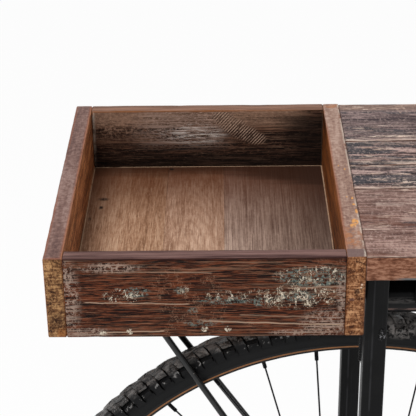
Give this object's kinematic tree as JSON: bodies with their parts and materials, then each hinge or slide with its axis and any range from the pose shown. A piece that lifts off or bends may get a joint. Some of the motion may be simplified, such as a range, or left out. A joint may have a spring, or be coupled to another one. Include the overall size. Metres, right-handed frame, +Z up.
{
  "type": "counter-height table",
  "caption": "Narrow counter-height table: plank top with an open wooden tray at one end, on black steel posts with spoked wheels held between them.",
  "frame": {"origin": "on the floor, under the middle of the box round the table", "axes": "+X along the table from the tray's end to the other, +Y to the back, +Z up"},
  "size_m": [1.726, 0.315, 0.88],
  "materials": {
    "left_wall_wood": "old planed board, grey-brown with an ochre end, waxed matt",
    "right_wall_wood": "old planed board, reddish brown with an orange end, waxed matt",
    "front_board_wood": "dark reddish brown with flakes of old cream and pale teal paint",
    "back_board_wood": "very dark brown with saw marks and a whitish wash",
    "floor_wood": "mid-brown sawn boards, knotty, matt",
    "top_wood": "mauve-brown reclaimed planks with slate-grey patches and cream scuffs, satin wax",
    "black_steel": "satin black powder coat, with small worn and chipped places",
    "zinc_steel": "bright zinc, a little dull",
    "axle_steel": "turned steel, dull",
    "ball_steel": "polished steel",
    "spoke_steel": "dull stainless wire",
    "nipple_brass": "dull nickelled brass",
    "hub_alloy": "dull cast and turned",
    "rim_black": "black paint, with a thin tan line on each side wall",
    "tyre_rubber": "dusty dark grey rubber with a brownish worn tread",
    "black_rubber": "matt black rubber",
    "tape_rubber": "matt rubber band",
    "valve_rubber": "rubber-covered stem",
    "black_plastic": "matt black moulded plastic"
  },
  "bodies": {
    "frame": {"axle_nuts": "zinc_steel", "axle_sleeves": "black_steel", "axle_washers": "zinc_steel", "axles": "axle_steel", "back_stay": "black_steel", "back_top_rail": "black_steel", "bearing_cones": "axle_steel", "bracket_screws": "zinc_steel", "cross_rails": "black_steel", "crown_bars": "black_steel", "fixing_tabs": "black_steel", "foot_bars": "black_steel", "foot_end_plugs": "black_plastic", "foot_glides": "black_rubber", "front_stay": "black_steel", "front_top_rail": "black_steel", "hanger_plates": "black_steel", "left_back_post": "black_steel", "left_front_post": "black_steel", "lock_nuts": "axle_steel", "packing_plates": "black_steel", "packing_screws": "zinc_steel", "right_back_post": "black_steel", "right_front_post": "black_steel", "stay_bracket": "black_steel", "tab_screws": "zinc_steel", "top_plank_back": "top_wood", "top_plank_front": "top_wood", "top_plank_second": "top_wood", "top_plank_third": "top_wood", "top_tube": "black_steel", "tray_back_board": "back_board_wood", "tray_corner_screws": "zinc_steel", "tray_floor_boards": "floor_wood", "tray_front_board": "front_board_wood", "tray_left_wall": "left_wall_wood", "tray_right_wall": "right_wall_wood"},
    "left_wheel": {"left_tyre": "tyre_rubber", "left_inner_tube": "black_rubber", "left_rim": "rim_black", "left_rim_tape": "tape_rubber", "left_spokes": "spoke_steel", "left_nipples": "nipple_brass", "left_hub_shell": "hub_alloy", "left_dust_caps": "axle_steel", "left_bearing_balls": "ball_steel", "left_valve": "valve_rubber"},
    "right_wheel": {"right_tyre": "tyre_rubber", "right_inner_tube": "black_rubber", "right_rim": "rim_black", "right_rim_tape": "tape_rubber", "right_spokes": "spoke_steel", "right_nipples": "nipple_brass", "right_hub_shell": "hub_alloy", "right_dust_caps": "axle_steel", "right_bearing_balls": "ball_steel", "right_valve": "valve_rubber"}
  },
  "joints": [
    {"name": "left_wheel_spin", "type": "hinge", "parent": "frame", "child": "left_wheel", "pos_m": [-0.519, 0, 0.3849], "axis": [0, 1, 0], "continuous": true},
    {"name": "right_wheel_spin", "type": "hinge", "parent": "frame", "child": "right_wheel", "pos_m": [0.519, 0, 0.3849], "axis": [0, 1, 0], "continuous": true}
  ]
}
